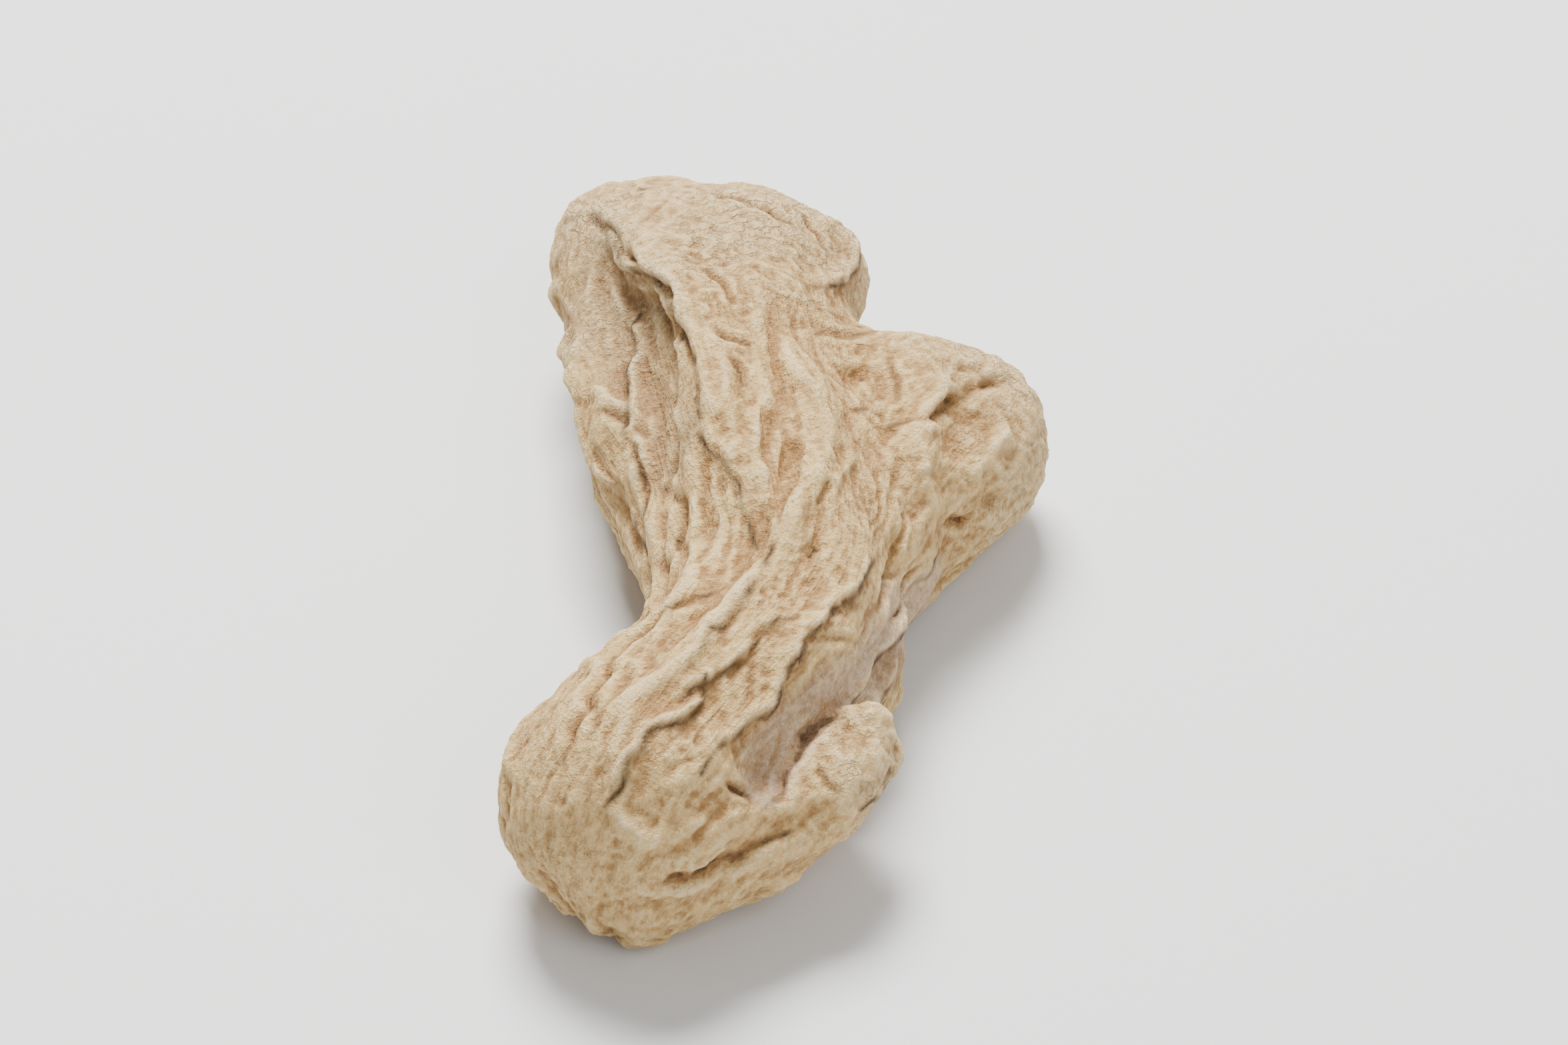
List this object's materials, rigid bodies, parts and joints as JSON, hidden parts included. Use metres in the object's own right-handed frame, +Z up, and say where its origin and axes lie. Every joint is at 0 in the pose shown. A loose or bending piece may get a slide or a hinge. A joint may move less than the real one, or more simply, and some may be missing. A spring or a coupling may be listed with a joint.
{
  "type": "dried ginger root",
  "caption": "Whole dried ginger rhizome in one piece: a bent, wrinkled stem with a broad back lobe, a side knob and a small curled finger, lying on its flatter side.",
  "frame": {"origin": "under the middle of the bounding box, on the surface that the root rests on", "axes": "+X towards the knob, +Y from the foot to the back lobe along the root's length, +Z up from the resting side"},
  "size_m": [0.0246, 0.0468, 0.0127],
  "materials": {
    "dried_skin": "dry, matt, wrinkled skin, pale tan with dusty cream folds and brown creases"
  },
  "bodies": {
    "root": {"ginger_root": "dried_skin"}
  },
  "joints": []
}
